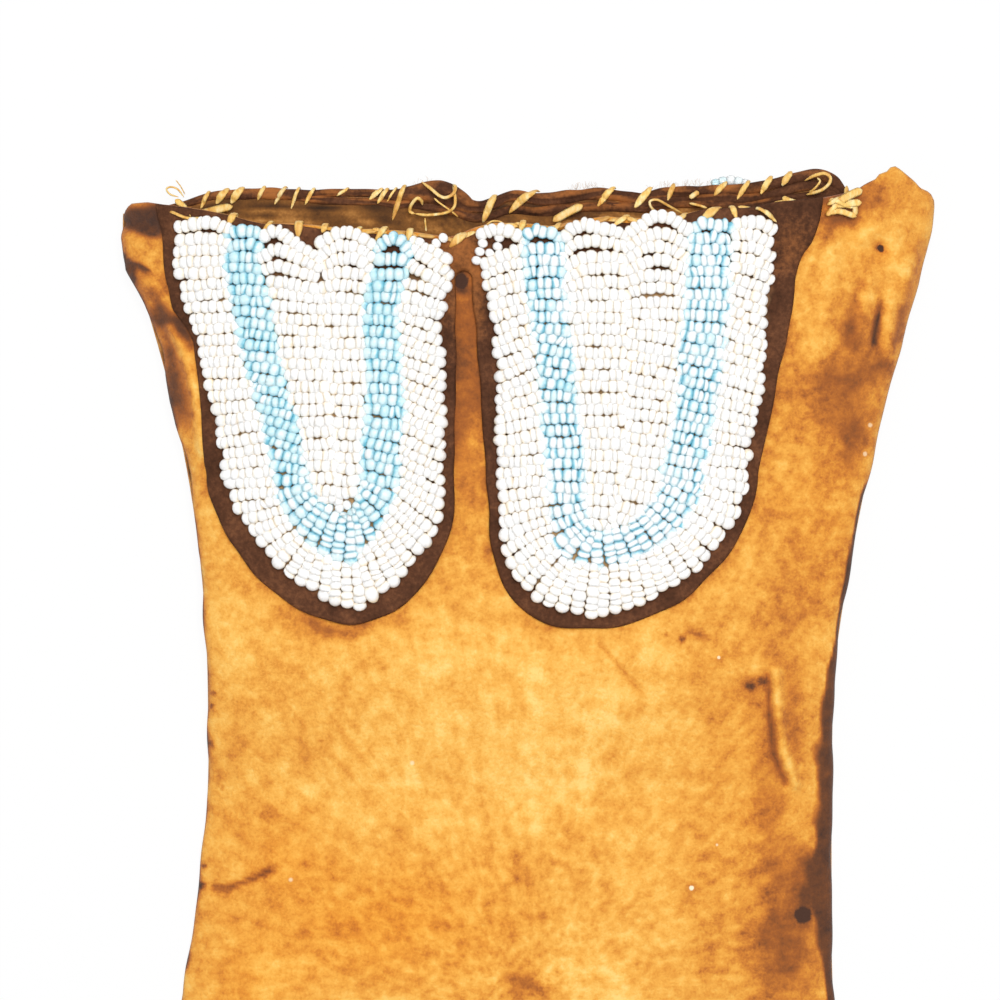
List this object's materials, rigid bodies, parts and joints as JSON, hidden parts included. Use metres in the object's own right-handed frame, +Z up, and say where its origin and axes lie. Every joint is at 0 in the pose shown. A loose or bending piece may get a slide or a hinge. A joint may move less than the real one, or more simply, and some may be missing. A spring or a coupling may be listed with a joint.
{
  "type": "beaded pipe bag",
  "caption": "Flat soft hide bag with an open mouth, dark two-lobed flaps sewn to its rim, white and blue bead rows laid in lanes round the lobes, and sinew stitches over the edges.",
  "frame": {"origin": "on the surface that the bag lies on, under the middle of its length", "axes": "+Y along the bag towards its mouth, +Z up out of the surface it lies on, +X to the right seen from above"},
  "size_m": [0.2158, 0.4205, 0.0276],
  "materials": {
    "hide": "napped tan hide, mottled and stained",
    "dark_hide": "matt dark brown hide",
    "white_beads": "opaque white glass beads",
    "blue_beads": "opaque pale blue glass beads",
    "sinew": "dried yellow sinew"
  },
  "bodies": {
    "root": {"back_panel": "hide", "front_panel": "hide", "front_flap": "dark_hide", "back_flap": "dark_hide", "front_left_outer_white_beads": "white_beads", "front_left_blue_beads": "blue_beads", "front_left_inner_white_beads_1": "white_beads", "front_left_inner_white_beads_2": "white_beads", "front_right_outer_white_beads": "white_beads", "front_right_blue_beads": "blue_beads", "front_right_inner_white_beads_1": "white_beads", "front_right_inner_white_beads_2": "white_beads", "back_left_outer_white_beads": "white_beads", "back_left_blue_beads": "blue_beads", "back_left_inner_white_beads_1": "white_beads", "back_left_inner_white_beads_2": "white_beads", "back_right_outer_white_beads": "white_beads", "back_right_blue_beads": "blue_beads", "back_right_inner_white_beads_1": "white_beads", "back_right_inner_white_beads_2": "white_beads", "front_stitch_1": "sinew", "front_stitch_2": "sinew", "front_stitch_3": "sinew", "front_stitch_4": "sinew", "front_stitch_5": "sinew", "front_stitch_6": "sinew", "front_stitch_7": "sinew", "front_stitch_8": "sinew", "front_stitch_9": "sinew", "front_stitch_10": "sinew", "front_stitch_11": "sinew", "front_stitch_12": "sinew", "front_stitch_13": "sinew", "front_stitch_14": "sinew", "front_stitch_15": "sinew", "back_stitch_1": "sinew", "back_stitch_2": "sinew", "back_stitch_3": "sinew", "back_stitch_4": "sinew", "back_stitch_5": "sinew", "back_stitch_6": "sinew", "back_stitch_7": "sinew", "back_stitch_8": "sinew", "back_stitch_9": "sinew", "back_stitch_10": "sinew", "back_stitch_11": "sinew", "back_stitch_12": "sinew", "back_stitch_13": "sinew", "back_stitch_14": "sinew", "back_stitch_15": "sinew", "back_stitch_16": "sinew", "back_stitch_17": "sinew", "left_seam_thread": "sinew", "right_seam_thread": "sinew", "bottom_seam_thread": "sinew"}
  },
  "joints": []
}
